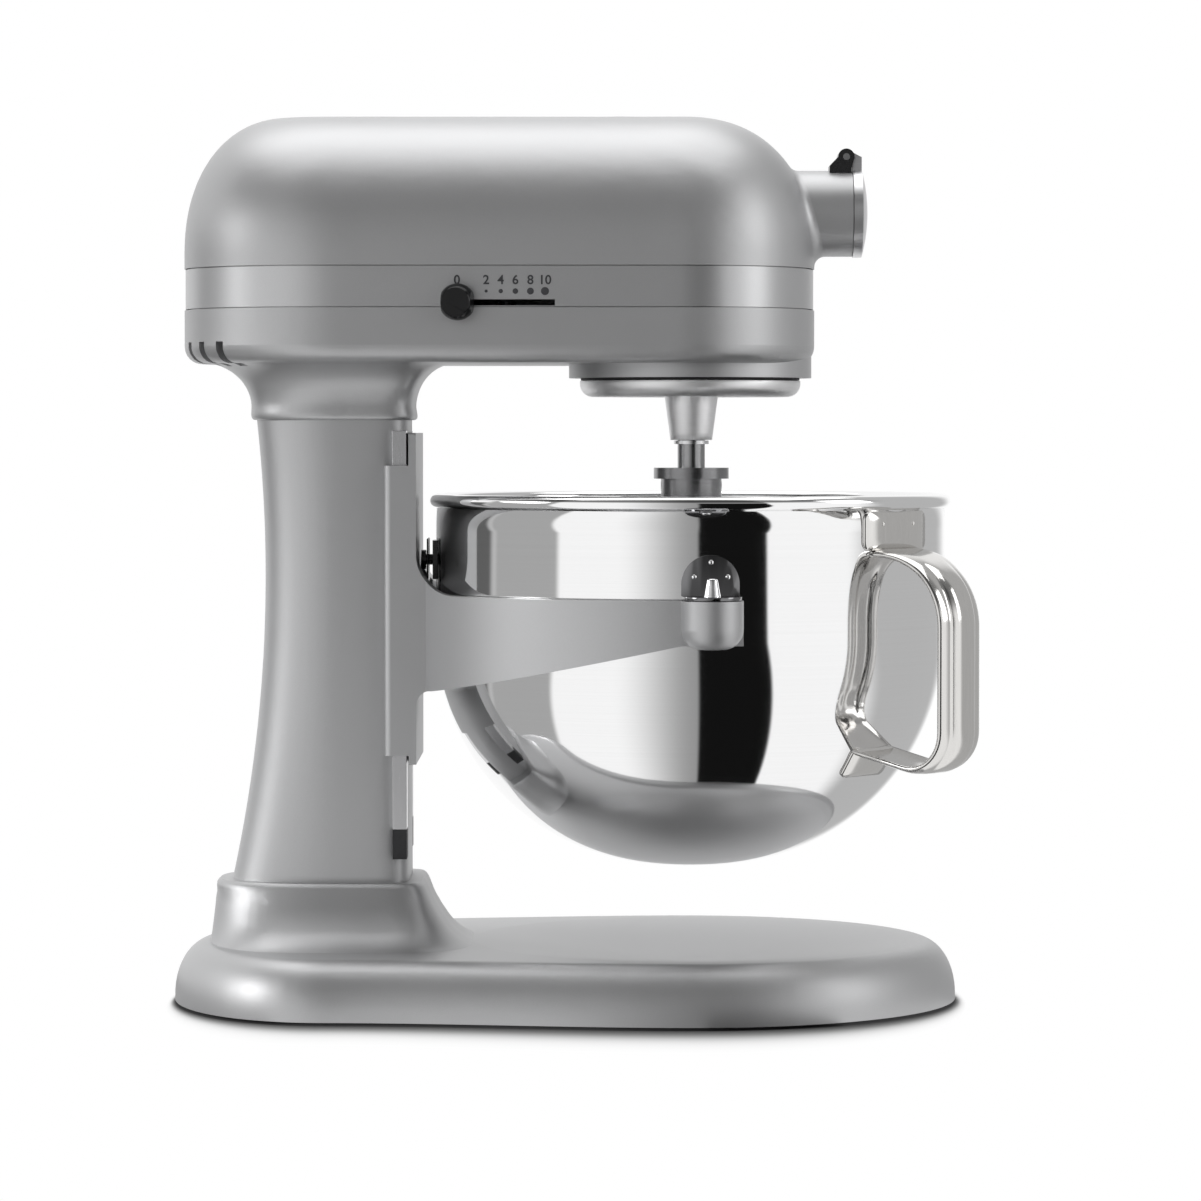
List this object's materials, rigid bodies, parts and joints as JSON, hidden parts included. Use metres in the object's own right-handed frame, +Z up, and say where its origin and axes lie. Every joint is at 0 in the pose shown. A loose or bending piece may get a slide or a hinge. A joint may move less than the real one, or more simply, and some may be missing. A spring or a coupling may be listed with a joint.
{
  "type": "stand mixer",
  "caption": "Bowl-lift stand mixer in satin silver with a bright trim band, a black speed knob and a polished steel bowl with a strap handle.",
  "frame": {"origin": "on the floor under the middle of the mixer's overall box", "axes": "+Z up, +X towards the attachment hub at the front, +Y to the mixer's left when looking along +X, the side of the lift handle"},
  "size_m": [0.3704, 0.2882, 0.4114],
  "materials": {
    "paint": "satin silver metallic enamel",
    "plated_steel": "plated, fine machined grain",
    "rubber": "matte black",
    "chrome_trim": "bright with a fine grain",
    "cast_aluminium": "fine cast",
    "burnished": "burnished",
    "bronze": "machined",
    "gear_steel": "cut and oiled",
    "copper": "bright copper",
    "black_plastic": "black, fine satin",
    "bowl_steel": "polished stainless"
  },
  "bodies": {
    "stand": {"base": "paint", "base_feet": "rubber", "column": "paint", "column_screws": "plated_steel", "neck_screws": "plated_steel", "column_ways": "plated_steel", "way_stops": "rubber", "lower_housing": "paint", "trim_band": "chrome_trim", "top_cover": "paint", "cord_gland": "rubber", "hub_bush": "bronze", "hub_hinge_bracket": "black_plastic", "hub_hinge_pin": "plated_steel", "ring_gear": "gear_steel", "shaft_bushes": "bronze", "gear_bracket": "cast_aluminium", "motor_stator": "gear_steel", "motor_windings": "copper", "brush_holders": "black_plastic", "motor_front_bracket": "cast_aluminium", "motor_rear_bracket": "cast_aluminium", "motor_bearings": "bronze", "speed_pivot": "plated_steel", "speed_board": "black_plastic", "lift_bush": "bronze"},
    "planetary": {"planetary_carrier": "cast_aluminium", "planetary_shaft": "plated_steel", "centre_gear": "gear_steel", "bevel_gear": "gear_steel"},
    "beater": {"beater_shaft": "plated_steel", "beater_pinion": "gear_steel", "shaft_washer": "plated_steel", "beater_pin": "plated_steel", "dough_hook": "burnished"},
    "hub_drive": {"hub_shaft": "plated_steel", "hub_bevel_pinion": "gear_steel"},
    "reduction": {"worm_wheel": "bronze", "wheel_shaft": "gear_steel"},
    "armature": {"motor_rotor": "gear_steel", "motor_shaft": "plated_steel", "worm": "gear_steel", "commutator": "copper", "motor_fan": "black_plastic"},
    "speed_control": {"speed_lever": "plated_steel", "speed_knob": "black_plastic"},
    "speed_slider": {"speed_link": "plated_steel"},
    "carriage": {"bowl_support": "paint", "locating_pins": "plated_steel", "latch_spring": "plated_steel", "latch_screws": "plated_steel"},
    "lift": {"lift_shaft": "plated_steel", "lift_handle": "plated_steel", "lift_grip": "black_plastic"},
    "bowl_body": {"bowl": "bowl_steel", "bowl_handle": "bowl_steel", "bowl_side_brackets": "bowl_steel", "bowl_rear_bracket": "bowl_steel"},
    "hub_cap": {"hub_cover": "chrome_trim"},
    "thumb_screw": {"hub_knob": "black_plastic"}
  },
  "joints": [
    {"name": "planetary_spin", "type": "hinge", "parent": "stand", "child": "planetary", "pos_m": [0.0553, 0, 0.3], "axis": [0, 0, 1], "continuous": true},
    {"name": "beater_spin", "type": "hinge", "parent": "planetary", "child": "beater", "pos_m": [0.0553, -0.03, 0.27], "axis": [0, 0, 1], "continuous": true},
    {"name": "hub_drive_spin", "type": "hinge", "parent": "stand", "child": "hub_drive", "pos_m": [0.083, 0, 0.367], "axis": [1, 0, 0], "continuous": true},
    {"name": "reduction_spin", "type": "hinge", "parent": "stand", "child": "reduction", "pos_m": [-0.00113, 0.028, 0.33], "axis": [0, 0, 1], "continuous": true},
    {"name": "armature_spin", "type": "hinge", "parent": "stand", "child": "armature", "pos_m": [-0.1397, 0, 0.356], "axis": [1, 0, 0], "continuous": true},
    {"name": "speed_lever_swing", "type": "hinge", "parent": "stand", "child": "speed_control", "pos_m": [-0.0315, 0.044, 0.324], "axis": [0, 0, 1], "range_deg": [0, 18.32]},
    {"name": "speed_link_slide", "type": "slide", "parent": "stand", "child": "speed_slider", "axis": [1, 0, 0], "range_m": [-0.00382, 0]},
    {"name": "bowl_lift", "type": "slide", "parent": "stand", "child": "carriage", "axis": [0, 0, 1], "range_m": [-0.034, 0]},
    {"name": "lift_handle_swing", "type": "hinge", "parent": "stand", "child": "lift", "pos_m": [-0.1007, 0, 0.155], "axis": [0, 1, 0], "range_deg": [-100, 0]},
    {"name": "bowl_off", "type": "slide", "parent": "carriage", "child": "bowl_body", "axis": [0, 0, 1], "range_m": [0, 0.014]},
    {"name": "hub_cap_hinge", "type": "hinge", "parent": "stand", "child": "hub_cap", "pos_m": [0.1277, 0, 0.3932], "axis": [0, -1, 0], "range_deg": [0, 150]},
    {"name": "thumb_screw_turn", "type": "hinge", "parent": "stand", "child": "thumb_screw", "pos_m": [0.1213, 0.02, 0.367], "axis": [0, 1, 0], "continuous": true}
  ],
  "couplings": [
    {"joint": "beater_spin", "follows": "planetary_spin", "ratio": -3.5},
    {"joint": "hub_drive_spin", "follows": "planetary_spin", "ratio": 2},
    {"joint": "reduction_spin", "follows": "planetary_spin", "ratio": -2.6},
    {"joint": "armature_spin", "follows": "planetary_spin", "ratio": 33.8},
    {"joint": "speed_link_slide", "follows": "speed_lever_swing", "m_per_rad": -0.011949},
    {"joint": "lift_handle_swing", "follows": "bowl_lift", "rad_per_m": 51.333}
  ]
}
